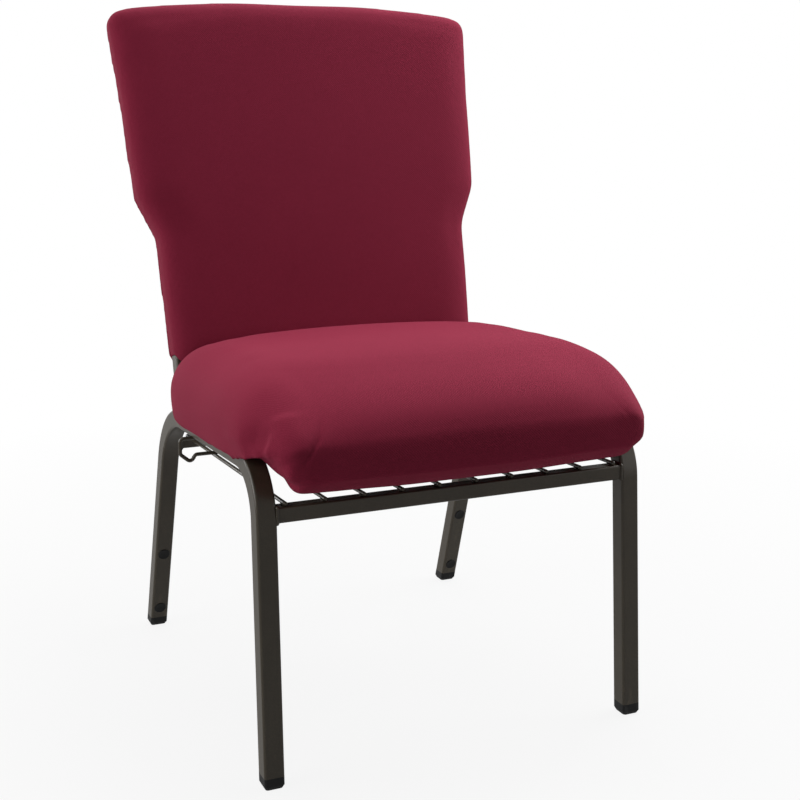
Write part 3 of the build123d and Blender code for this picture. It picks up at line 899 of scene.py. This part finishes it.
@dataclass
class SeatCushion:
    """Seat foam and cover: crowned, with a waterfall front that hangs between the front legs.

    Lengths are in metres, in the seat's axes. A bump is given by its middle and its width.
    """

    padding: Padding = field(default_factory=lambda: Padding(0.0048, smooth_rounds=4, relax_rounds=2))
    gap: float = 0.0006
    board_half: float = 0.256
    board_along: Span = (-0.232, 0.1125)
    board_top: float = 0.0123
    board_margin: float = 0.004
    hem: Region = Region(out=(0.004, -0.006))
    notch: Region = Region((0.190, 0.205), (-0.195, -0.205), (0.034, 0.014))
    bottom: Region = Region(out=(-0.024, -0.036))
    skirt: Region = Region(out=(0.004, -0.004))
    skirt_across: float = 0.257
    skirt_front: float = -0.33
    skirt_drop: float = 0.0055
    bulge: Region = Region((0.245, 0.12), (-0.28, -0.33))
    bulge_bump: Span = (-0.006, 0.034)
    shoulder: Region = Region((0.245, 0.12), (-0.2, -0.29))
    shoulder_bump: Span = (0.045, 0.035)
    front_push: float = 0.006
    corner: Region = Region((0.185, 0.24), (-0.19, -0.25), (0.002, 0.017))
    corner_rounds: int = 40
    corner_fill: float = 0.0045
    ear: Region = Region((0.215, 0.236), (-0.232, -0.285), (0.048, 0.014))
    ear_sag: float = 0.006
    under: Region = Region((0.06, 0.19), None, (-0.012, -0.034))
    under_lift: float = 0.003
    roll_ends: tuple[Span, ...] = ((-0.046, 0.221), (-0.034, 0.225), (-0.01, 0.234), (0.002, 0.238))
    roll_limit: Span = (0.247, -0.2)
    roll_rear: float = -0.262
    roll_top: float = 0.004
    roll_levels: int = 12
    level_half: float = 0.004
    least_reach: float = 0.19
    most_push: float = 0.026
    pushed: Region = Region((0.14, 0.195), None, (0.006, -0.010))
    ends: Region = Region((0.17, 0.2), None, (0.014, -0.002))
    end_rounds: int = 14
    folds: tuple[Fold, ...] = (EAR_DENT, EAR_SWELL, PLEAT)
    least_shift: float = 0.0002
    shift_spread: float = 4.0
    shift_rounds: int = 6

    def build(self) -> None:
        """Makes the cushion in place of the CAD solid."""
        piece = Piece.copy_of("seat_cushion", "seat_cover")
        self.drop_hem(piece)
        self.padding.remesh(piece)
        self.padding.blow_up(piece, self.held(piece))
        self.round_front(piece)
        self.round_corners(piece)
        self.hang_ears(piece)
        self.square_roll(piece)
        Piece.refine(piece)
        self.crease(piece)
        self.keep_clear(piece)
        Piece.dress(piece, Slot.COVER_FABRIC)
        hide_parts("seat_cushion")

    def held(self, piece: Object) -> Array:
        """Returns a weight for each vertex, 1 under the board and on the hem, 0 on the open cover."""
        local = SEAT_PLANE.points(piece)
        across, along, tall = columns(local)
        front, rear = self.board_along
        margin = self.board_margin
        over_board = (across < self.board_half + margin) & (along > front - margin)
        over_board &= (along < rear + margin) & (tall < self.board_top + margin)
        hem = self.hem.weight(local) * (along > front)
        rest = [self.notch.weight(local), self.bottom.weight(local)]
        return np.maximum.reduce([over_board.astype(float), hem, *rest])

    def drop_hem(self, piece: Object) -> None:
        """Lengthens the skirt beside the tubes by what the smoothing takes from it."""
        local = SEAT_PLANE.points(piece)
        across, along, _ = columns(local)
        beside = (across > self.skirt_across) & (along > self.skirt_front)
        local[:, 2] -= self.skirt_drop * beside * self.skirt.weight(local)
        SEAT_PLANE.place(piece, local)

    def round_front(self, piece: Object) -> None:
        """Swells the front of the waterfall, which the foam pushes out."""
        local = SEAT_PLANE.points(piece)
        normals = Piece.normals(piece)
        forward = -np.array(SEAT_PLANE.along)
        facing = np.clip(normals @ forward, 0.0, 1.0) ** 2
        push = self.front_push * self.bulge.weight(local) * bell(local[:, 2], *self.bulge_bump) * facing
        rise = self.front_push * self.shoulder.weight(local) * bell(local[:, 2], *self.shoulder_bump)
        points = Piece.points(piece) + push[:, None] * forward
        Piece.place(piece, points + rise[:, None] * normals)

    def round_corners(self, piece: Object) -> None:
        """Rounds the front corners above the tubes, and fills them out with foam."""
        corner = self.corner.weight(SEAT_PLANE.points(piece))
        self.padding.soften(piece, corner, self.corner_rounds)
        Piece.swell(piece, self.corner_fill * corner)

    def hang_ears(self, piece: Object) -> None:
        """Lets the cover sag over the bends of the tubes, and draws it up under the roll."""
        local = SEAT_PLANE.points(piece)
        lift = self.under_lift * self.under.weight(local)
        local[:, 2] += lift - self.ear_sag * self.ear.weight(local)
        SEAT_PLANE.place(piece, local)

    def square_roll(self, piece: Object) -> None:
        """Brings the ends of the hanging roll to their outline beside the front legs."""
        local = SEAT_PLANE.points(piece)
        across, along, tall = columns(local)
        levels, halves = zip(*self.roll_ends)
        inner = (across < self.roll_limit[0]) & (along < self.roll_limit[1])
        hanging = inner & (along < self.roll_rear) & (tall < self.roll_top)
        steps = np.linspace(levels[0], levels[-1], self.roll_levels)
        reach = []
        for step in steps:
            level = hanging & (np.abs(tall - step) < self.level_half)
            reach.append(across[level].max(initial=self.least_reach))
        push = np.interp(tall, levels, halves) - np.interp(tall, steps, reach)
        push = np.clip(push * self.pushed.weight(local), 0.0, self.most_push)
        local[:, 0] += np.sign(local[:, 0]) * push * inner
        SEAT_PLANE.place(piece, local)
        self.padding.soften(piece, self.ends.weight(local) * inner, self.end_rounds)

    def crease(self, piece: Object) -> None:
        """Draws the cover in at the front corners and presses the pleats into it."""
        local = SEAT_PLANE.points(piece)
        Piece.swell(piece, sum(fold.height(local) for fold in self.folds))

    def keep_clear(self, piece: Object) -> None:
        """Moves the cover off the tubes, the board and the front rail."""
        near = Neighbours("left_side_frame", "right_side_frame", "seat_board", "front_cross_rail")
        before = Piece.points(piece)
        moved = near.clear(before, self.gap)
        Piece.place(piece, moved)
        shifted = (np.linalg.norm(moved - before, axis=1) > self.least_shift).astype(float)
        around = np.clip(self.shift_spread * self.padding.even(piece, shifted), 0.0, 1.0)
        self.padding.soften(piece, around, self.shift_rounds)
        Piece.place(piece, near.clear(Piece.points(piece), self.gap))


@dataclass
class BackCushion:
    """Back foam and cover: a winged outline with a crowned front, hollow for the board and the uprights.

    Lengths are in metres, in the back's axes.
    """

    padding: Padding = field(default_factory=lambda: Padding(smooth_rounds=4, cap=0.004))
    rear: float = -0.0122
    held_out: Span = (0.014, 0.003)
    upright_x: float = 0.2205
    upright_half: float = 0.0128
    upright_top: float = 0.491
    upright_low: float = 0.012
    room_low: float = -0.03
    room_depth: float = 0.03
    room_voxel: float = 0.003
    board_steps: tuple[float, ...] = (0.0, -0.008, -0.016, -0.024)
    core_half: float = 0.226
    core_along: Span = (0.03, 0.51)
    core_front: float = 0.0214
    gap: float = 0.0004
    outline: tuple[Span, ...] = (
        (0.002, 0.236), (0.192, 0.2405), (0.250, 0.267), (0.400, 0.2755), (0.541, 0.287),
    )
    edge_reach: float = 0.065
    edge_drop: float = 0.008
    front: Region = Region(out=(0.004, 0.026))
    top_drop: float = 0.003
    side_swell: tuple[Span, ...] = (
        (0.02, 0.0), (0.12, 0.002), (0.24, 0.002), (0.30, 0.003), (0.50, 0.003), (0.54, 0.001),
    )
    side_reach: Span = (0.03, 0.0)
    top_swell: float = 0.0025
    top: Region = Region((0.282, 0.235), (0.49, 0.535))
    top_ends: Region = Region((0.0, 0.12))
    corner: Span = (0.285, 0.523)
    corner_reach: float = 0.02
    corner_pull: float = 0.0015

    def build(self) -> None:
        """Makes the cushion in place of the CAD solid."""
        piece = Piece.copy_of("back_cushion", "back_cover")
        self.fill(piece, 0.0, self.rear)
        self.padding.remesh(piece)
        self.padding.blow_up(piece, self.held(piece))
        self.soften_edges(piece)
        self.swell_outline(piece)
        self.fill_corners(piece)
        Piece.refine(piece)
        self.hollow(piece)
        Piece.dress(piece, Slot.COVER_FABRIC)
        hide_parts("back_cushion")

    def held(self, piece: Object) -> Array:
        """Returns a weight for each vertex, 1 at the rear, where the cover is fastened."""
        low, high = self.held_out
        return ramp(BACK_PLANE.points(piece)[:, 2], self.rear + low, self.rear + high)

    def from_side(self, across: Array, along: Array) -> Array:
        """Returns how far points lie inside the outline's sides."""
        return np.interp(along, *zip(*self.outline)) - across

    def fade(self, distance: Array) -> Array:
        """Returns a weight that falls from 1 at an edge to 0 at the reach of its rounding."""
        return (1.0 - np.clip(distance / self.edge_reach, 0.0, 1.0)) ** 2

    def soften_edges(self, piece: Object) -> None:
        """Rolls the front over more gently towards the edges, as foam does under a tight cover."""
        local = BACK_PLANE.points(piece)
        across, along, _ = columns(local)
        side_drop = self.edge_drop * self.fade(self.from_side(across, along))
        top_drop = self.top_drop * self.fade(self.outline[-1][0] - along)
        local[:, 2] -= np.maximum(side_drop, top_drop) * self.front.weight(local)
        BACK_PLANE.place(piece, local)

    def swell_outline(self, piece: Object) -> None:
        """Pushes the sides and the top out, where the cover is drawn over the foam."""
        local = BACK_PLANE.points(piece)
        across, along, _ = columns(local)
        wide = np.interp(along, *zip(*self.side_swell))
        near_side = ramp(self.from_side(across, along), *self.side_reach)
        local[:, 0] += np.sign(local[:, 0]) * wide * near_side
        local[:, 1] += self.top_swell * self.top.weight(local) * self.top_ends.weight(local)
        BACK_PLANE.place(piece, local)

    def fill_corners(self, piece: Object) -> None:
        """Draws the top corners out, where the folded cover makes them tighter than the foam."""
        local = BACK_PLANE.points(piece)
        for side in Side:
            corner = np.array((side.value * self.corner[0], self.corner[1]))
            near = bell(np.linalg.norm(local[:, :2] - corner, axis=1), 0.0, self.corner_reach)
            local[:, 0] += side.value * self.corner_pull * near
            local[:, 1] += self.corner_pull * near
        BACK_PLANE.place(piece, local)

    def fill(self, piece: Object, swell: float, rear: float) -> None:
        """Adds solids to a piece's mesh that fill the room of the board and the uprights.

        Args:
            piece: The piece that the solids join.
            swell: How far the solids reach past the room, in metres.
            rear: Where they end at the rear, along the back's normal.
        """
        body = bmesh.new()
        body.from_mesh(piece.data)
        board = frame["nodes"]["back_board"].data
        for step in self.board_steps:
            first = len(body.verts)
            body.from_mesh(board)
            body.verts.ensure_lookup_table()
            for vertex in body.verts[first:]:
                vertex.co += Vector(BACK_PLANE.normal) * step
        bottom, top = self.core_along
        self.block(body, (-self.core_half, bottom, rear), (self.core_half, top, self.core_front))
        reach = self.upright_half + swell
        low = self.room_low if swell else self.upright_low
        for side in Side:
            middle = side.value * self.upright_x
            high = (middle + reach, self.upright_top, self.upright_half)
            self.block(body, (middle - reach, low, rear), high)
        body.to_mesh(piece.data)
        body.free()

    @staticmethod
    def block(body: BMesh, low: Point, high: Point) -> None:
        """Adds a box to a mesh, given by two corners in the back's axes."""
        span = np.array(high) - np.array(low)
        middle = (np.array(high) + np.array(low)) / 2
        for vertex in bmesh.ops.create_cube(body, size=1.0)["verts"]:
            local = np.array(vertex.co) * span + middle
            vertex.co = Vector(BACK_PLANE.to_row(local[None])[0])

    def hollow(self, piece: Object) -> None:
        """Cuts the room of the board and the uprights out of the cushion, open to the rear."""
        cutter = Piece.copy_of("back_board", "back_room")
        self.fill(cutter, self.gap, self.rear - self.room_depth)
        Piece.modify(cutter, "REMESH", mode="VOXEL", voxel_size=self.room_voxel)
        Piece.freeze(cutter)
        Piece.swell(cutter, self.gap)
        Piece.modify(piece, "BOOLEAN", operation="DIFFERENCE", solver="EXACT", object=cutter)
        Piece.freeze(piece)
        Piece.shade_smooth(piece)
        mesh = cutter.data
        bpy.data.objects.remove(cutter)
        bpy.data.meshes.remove(mesh)


@dataclass
class OuterBack:
    """Covered panel on the rear of the back, softly padded."""

    padding: Padding = field(default_factory=lambda: Padding(0.0045, smooth_rounds=8))
    swell: float = 0.003
    middle: float = 0.27
    half_width: float = 0.24
    half_height: float = 0.26

    def build(self) -> None:
        """Makes the panel in place of the CAD solid."""
        piece = Piece.copy_of("back_outer_panel", "outer_back_cover")
        self.padding.remesh(piece)
        across, along, _ = columns(BACK_PLANE.points(piece))
        backward = -np.array(BACK_PLANE.normal)
        wide = 1.0 - np.clip(across / self.half_width, 0.0, 1.0) ** 2
        tall = 1.0 - np.clip(np.abs(along - self.middle) / self.half_height, 0.0, 1.0) ** 2
        rear = np.clip(Piece.normals(piece) @ backward, 0.0, 1.0)
        push = self.swell * wide * tall * rear
        Piece.place(piece, Piece.points(piece) + push[:, None] * backward)
        Piece.shade_smooth(piece)
        Piece.dress(piece, Slot.COVER_FABRIC)
        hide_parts("back_outer_panel")


@dataclass(frozen=True)
class Bead:
    """A rippled rod along a path, as a weld or a bent wire.

    Args:
        radius: Radius of the rod, in metres.
        ripple: Share of the radius that the ripples take.
        pitch: Length of a ripple.
        sides: Corners of its section.
        tip: Least share of the radius at its ends, squared.
    """

    radius: float
    ripple: float = 0.14
    pitch: float = 0.0022
    sides: int = 8
    tip: float = 0.03

    def lay(self, body: BMesh, path: list[Vector], closed: bool = False) -> None:
        """Adds the rod to a mesh.

        Args:
            body: The mesh.
            path: Corners of the path.
            closed: Whether the path runs back to its start.
        """
        spots, runs = self.walk(path + path[:1] if closed else path)
        total = runs[-1]
        turns = [2.0 * math.pi * turn / self.sides for turn in range(self.sides)]
        rings = []
        for index, (spot, run) in enumerate(zip(spots, runs)):
            ahead = spots[min(index + 1, len(spots) - 1)] - spots[max(index - 1, 0)]
            ahead.normalize()
            first = ahead.orthogonal().normalized()
            second = ahead.cross(first)
            size = self.radius * (1.0 + self.ripple * math.sin(2.0 * math.pi * run / self.pitch))
            if not closed:
                end = min(run, total - run) / self.radius
                size *= math.sqrt(max(self.tip, 1.0 - max(0.0, 1.0 - end) ** 2))
            ring = [spot + size * (math.cos(turn) * first + math.sin(turn) * second) for turn in turns]
            rings.append([body.verts.new(corner) for corner in ring])
        self.skin(body, rings)

    def walk(self, path: list[Vector]) -> tuple[list[Vector], list[float]]:
        """Returns evenly spaced spots along a path, and the run from its start to each."""
        spots = [path[0].copy()]
        runs = [0.0]
        step = min(self.pitch / 3.0, self.radius / 2.0)
        for start, end in zip(path, path[1:]):
            length = (end - start).length
            count = max(1, round(length / step))
            before = runs[-1]
            for index in range(1, count + 1):
                spots.append(start.lerp(end, index / count))
                runs.append(before + length * index / count)
        return spots, runs

    def skin(self, body: BMesh, rings: list[list[BMVert]]) -> None:
        """Joins rings of vertices with faces and closes both ends."""
        for near, far in zip(rings, rings[1:]):
            turn = min(range(self.sides), key=lambda shift: (near[0].co - far[shift].co).length)
            far[:] = far[turn:] + far[:turn]
            for side in range(self.sides):
                after = (side + 1) % self.sides
                body.faces.new((near[side], near[after], far[after], far[side]))
        body.faces.new(list(reversed(rings[0])))
        body.faces.new(rings[-1])

    @staticmethod
    def finish(body: BMesh, name: str, slot: Slot) -> None:
        """Turns a mesh of rods into a dressed piece.

        Args:
            body: The mesh, which is freed.
            name: Name of the piece.
            slot: Its slot.
        """
        bmesh.ops.recalc_face_normals(body, faces=body.faces)
        piece = Piece.from_bmesh(name, body)
        Piece.shade_smooth(piece)
        Piece.dress(piece, slot)


@dataclass
class FrameWelds:
    """Weld beads where tubes and wires of the frame meet, in metres.

    A rail has two ends in Y and two in Z, then the radius of its bead. A wire run has two ends in Y,
    and Z.
    """

    inner_face: float = 0.233
    rails: tuple[tuple[float, ...], ...] = (
        (-0.283, -0.264, 0.313, 0.332, 0.0021), (0.1352, 0.1482, 0.3015, 0.3145, 0.0016),
    )
    rail_sink: float = 0.0004
    bend_centre: Span = (0.0494, 0.2415)
    bend_outer: float = 0.1345
    bend_angles: Span = (51.4, 39.1)
    bend_steps: int = 9
    bend_rise: float = 0.0005
    bend_bead: Bead = Bead(0.0026)
    foot_line: tuple[Span, ...] = ((0.1329, 0.3462), (0.1289, 0.3312))
    foot_sink: float = 0.0003
    foot_bead: Bead = Bead(0.0022)
    gang_across: Span = (0.238, 0.253)
    gang_sides: Span = (-0.0031, 0.0011)
    gang_z: float = 0.3537
    gang_bead: Bead = Bead(0.0015)
    wire_count: int = 10
    wire_spacing: float = 0.0493
    wire_sides: Span = (-0.0022, 0.0022)
    wire_runs: Line = ((-0.2775, -0.2685, 0.3326), (0.1380, 0.1450, 0.3152))
    wire_bead: Bead = Bead(0.0014, sides=6)

    def build(self) -> None:
        """Lays all beads of the frame."""
        body = bmesh.new()
        for side in Side:
            self.rail_ends(body, side)
            self.upright_foot(body, side)
            self.gang_run(body, side)
        self.wire_ends(body)
        Bead.finish(body, "frame_welds", Slot.FRAME_METAL)

    def rail_ends(self, body: BMesh, side: Side) -> None:
        """Beads round the ends of the two cross rails."""
        x = side.value * (self.inner_face - self.rail_sink)
        for near, far, low, high, radius in self.rails:
            corners = ((near, low), (far, low), (far, high), (near, high))
            Bead(radius).lay(body, [Vector((x, y, z)) for y, z in corners], closed=True)

    def upright_foot(self, body: BMesh, side: Side) -> None:
        """Beads where an upright stands against the rear bend of a side frame."""
        x = side.value * (self.inner_face + self.bend_rise)
        arc = []
        for angle in np.radians(np.linspace(*self.bend_angles, self.bend_steps)):
            y = self.bend_centre[0] + self.bend_outer * math.cos(angle)
            z = self.bend_centre[1] + self.bend_outer * math.sin(angle)
            arc.append(Vector((x, y, z)))
        self.bend_bead.lay(body, arc)
        x = side.value * (self.inner_face - self.foot_sink)
        self.foot_bead.lay(body, [Vector((x, y, z)) for y, z in self.foot_line])

    def gang_run(self, body: BMesh, side: Side) -> None:
        """Beads on both sides of the ganging wire under a seat rail."""
        for y in self.gang_sides:
            self.gang_bead.lay(body, [Vector((side.value * x, y, self.gang_z)) for x in self.gang_across])

    def wire_ends(self, body: BMesh) -> None:
        """Beads on both sides of each rack wire at the two rails."""
        first = -self.wire_spacing * (self.wire_count - 1) / 2
        for number in range(self.wire_count):
            for shift in self.wire_sides:
                x = first + number * self.wire_spacing + shift
                for near, far, z in self.wire_runs:
                    self.wire_bead.lay(body, [Vector((x, near, z)), Vector((x, far, z))])


@dataclass
class Staples:
    """Wire staples that hold the dust cover to the seat board, in metres in the seat's axes."""

    half_width: float = 0.224
    front: float = -0.222
    rear: float = 0.102
    corner_room: float = 0.06
    spacing: float = 0.042
    crown: float = 0.0098
    wire: float = 0.00045
    sheet: float = -0.0012
    leg_top: float = 0.0004

    def build(self) -> None:
        """Sets staples along the four edges of the sheet."""
        body = bmesh.new()
        middle = (self.front + self.rear) / 2
        for v in (self.front, self.rear):
            for x in self.row(2 * self.half_width):
                self.staple(body, (x, v), (1.0, 0.0))
        for x in (-self.half_width, self.half_width):
            for v in self.row(self.rear - self.front):
                self.staple(body, (x, middle + v), (0.0, 1.0))
        Bead.finish(body, "dust_cover_staples", Slot.FASTENER)

    def row(self, edge: float) -> list[float]:
        """Returns staple places along an edge, about its middle."""
        length = edge - self.corner_room
        count = max(2, round(length / self.spacing))
        return [length * (index / count - 0.5) for index in range(count + 1)]

    def staple(self, body: BMesh, middle: Span, way: Span) -> None:
        """Adds one staple, with its legs in the sheet."""
        half = self.crown / 2
        low = self.sheet - self.wire * 0.6
        path = [(-half, self.leg_top), (-half, low), (half, low), (half, self.leg_top)]
        spots = [(middle[0] + way[0] * run, middle[1] + way[1] * run, w) for run, w in path]
        corners = [Vector(spot) for spot in SEAT_PLANE.to_row(np.array(spots))]
        Bead(self.wire, ripple=0.0, pitch=0.003, sides=6).lay(body, corners)


@dataclass
class FramePieces:
    """CAD nodes that keep their shape and get a finish."""

    soft: tuple[str, ...] = ("seat_cushion", "back_cushion", "back_outer_panel")

    def dress(self) -> None:
        """Gives every rigid node the finish of its slot."""
        slots = {entry["node"]: Slot(entry["material_slot"]) for entry in frame["record"]["subparts"]}
        for name, node in frame["nodes"].items():
            if name in self.soft:
                continue
            node.data.materials.clear()
            node.data.materials.append(FINISHES[slots[name]].material())
            LOG.info("%s: %s", name, slots[name].value)


@dataclass(frozen=True)
class Lamp:
    """A soft square lamp.

    Args:
        name: Name of the lamp.
        place: Where it hangs, in metres.
        aim: Height of the point above the origin that it faces.
        size: Edge of the lamp, in metres.
        power: Power in watts.
    """

    name: str
    place: Point
    aim: float
    size: float
    power: float

    def hang(self) -> None:
        """Adds the lamp to the scene."""
        data = bpy.data.lights.new(self.name, "AREA")
        assign(data, size=self.size, energy=self.power)
        way = Vector((0.0, 0.0, self.aim)) - Vector(self.place)
        turn = way.to_track_quat("-Z", "Y").to_euler()
        assign(Piece.new(self.name, data), location=self.place, rotation_euler=turn)


@dataclass
class Studio:
    """Pale floor, soft light and the camera, which stands where the photograph was taken from."""

    eye: Point = (-0.7183, -1.7128, 0.7966)
    look: Point = (0.40341, 0.90319, -0.14664)
    right: Point = (0.91326, -0.40736, 0.00335)
    focal_pixels: float = 1357.776
    image_pixels: float = 800.0
    centre_offset: float = -100.0
    sensor: float = 36.0
    lamps: tuple[Lamp, ...] = (
        Lamp("overhead", (0.45, 0.75, 2.9), 0.45, 2.2, 74.0),
        Lamp("left window", (-2.6, -0.1, 1.4), 0.5, 1.9, 44.0),
        Lamp("left rear window", (-1.6, 2.3, 1.0), 0.4, 1.9, 30.0),
        Lamp("right window", (1.6, 0.0, 1.5), 0.6, 1.2, 33.0),
        Lamp("front card", (1.5, -1.6, 0.9), 0.5, 1.2, 3.5),
    )
    fill_light: float = 0.05
    room_glow: Span = (0.38, 0.42)
    world_depth: Span = (-0.7, 0.2)
    floor_depth: Span = (-0.7, 0.1)
    floor_size: float = 14.0
    floor_drop: float = 0.0005
    floor_colour: Colour = (0.42, 0.42, 0.42, 1.0)
    fade_from: Span = (0.4, 1.6)
    fade_share: Span = (0.89, 1.0)

    def build(self) -> None:
        """Makes the camera, the lights, the world and the floor."""
        self.camera()
        for lamp in self.lamps:
            lamp.hang()
        self.world()
        self.floor()

    def camera(self) -> None:
        """Places the camera."""
        data = bpy.data.cameras.new("camera")
        assign(
            data, sensor_fit="HORIZONTAL", sensor_width=self.sensor, clip_end=60.0,
            lens=self.sensor * self.focal_pixels / self.image_pixels,
            shift_y=self.centre_offset / self.image_pixels,
        )
        back = -Vector(self.look).normalized()
        across = Vector(self.right).normalized()
        turn = Matrix((across, back.cross(across), back)).transposed().to_4x4()
        camera = Piece.new("camera", data)
        camera.matrix_world = Matrix.Translation(self.eye) @ turn
        bpy.context.scene.camera = camera

    @staticmethod
    def tree_of(owner: ID) -> Graph:
        """Returns the emptied node tree of a world or a material."""
        owner.use_nodes = True
        owner.node_tree.nodes.clear()
        return Graph(owner.node_tree)

    @staticmethod
    def rays(graph: Graph) -> tuple[NodeSocket, NodeSocket]:
        """Returns 1 for rays from the camera, and 1 for those in a reflection or through glass."""
        path = graph.add("ShaderNodeLightPath").outputs
        mirrored = graph.math("MAXIMUM", path["Is Glossy Ray"], path["Is Transmission Ray"])
        return path["Is Camera Ray"], mirrored

    def room(self, graph: Graph, vector: NodeSocket, depth: Span) -> NodeSocket:
        """Returns the brightness that reflections see: a dim room in front and paler sheets behind.

        Args:
            graph: The tree to add to.
            vector: A direction or a place.
            depth: Y at which the room is dim, and at which it is paler.

        Returns:
            The brightness.
        """
        return graph.spread(graph.parts(vector)[1], *self.room_glow, *depth)

    def world(self) -> None:
        """Makes a white backdrop that lights the chair softly."""
        world = bpy.data.worlds.new("studio")
        graph = self.tree_of(world)
        camera, mirrored = self.rays(graph)
        way = graph.add("ShaderNodeTexCoord").outputs["Generated"]
        soft = graph.spread(mirrored, self.fill_light, self.room(graph, way, self.world_depth))
        strength = graph.spread(camera, soft, 1.0)
        glow = graph.add("ShaderNodeBackground", {"Color": WHITE, "Strength": strength})
        graph.add("ShaderNodeOutputWorld", {"Surface": glow.outputs[0]})
        bpy.context.scene.world = world

    def floor(self) -> None:
        """Lays a pale floor that keeps the chair's shadow and fades into the backdrop."""
        grid = bmesh.new()
        bmesh.ops.create_grid(grid, x_segments=8, y_segments=8, size=self.floor_size / 2)
        floor = Piece.from_bmesh("floor", grid)
        floor.location.z = -self.floor_drop
        material = bpy.data.materials.new("pale floor")
        graph = self.tree_of(material)
        place = graph.place()
        away = graph.add("ShaderNodeVectorMath", {0: place}, operation="LENGTH").outputs["Value"]
        fade = graph.spread(away, *self.fade_share, *self.fade_from)
        camera, mirrored = self.rays(graph)
        share = graph.math("MULTIPLY", fade, graph.math("MAXIMUM", camera, mirrored))
        strength = graph.spread(camera, self.room(graph, place, self.floor_depth), 1.0)
        matt = graph.add("ShaderNodeBsdfDiffuse", {"Color": self.floor_colour})
        white = graph.add("ShaderNodeEmission", {"Color": WHITE, "Strength": strength})
        both = graph.add("ShaderNodeMixShader", {0: share, 1: matt.outputs[0], 2: white.outputs[0]})
        graph.add("ShaderNodeOutputMaterial", {"Surface": both.outputs[0]})
        floor.data.materials.append(material)


def main() -> None:
    """Builds the looks of the chair in order."""
    logging.basicConfig(level=logging.INFO, format="%(name)s: %(message)s")
    bpy.context.scene.view_settings.view_transform = "Standard"
    Studio().build()
    FramePieces().dress()
    for group in (SeatCushion(), BackCushion(), OuterBack(), FrameWelds(), Staples()):
        group.build()
    bpy.context.view_layer.update()


if __name__ == "__main__":
    main()
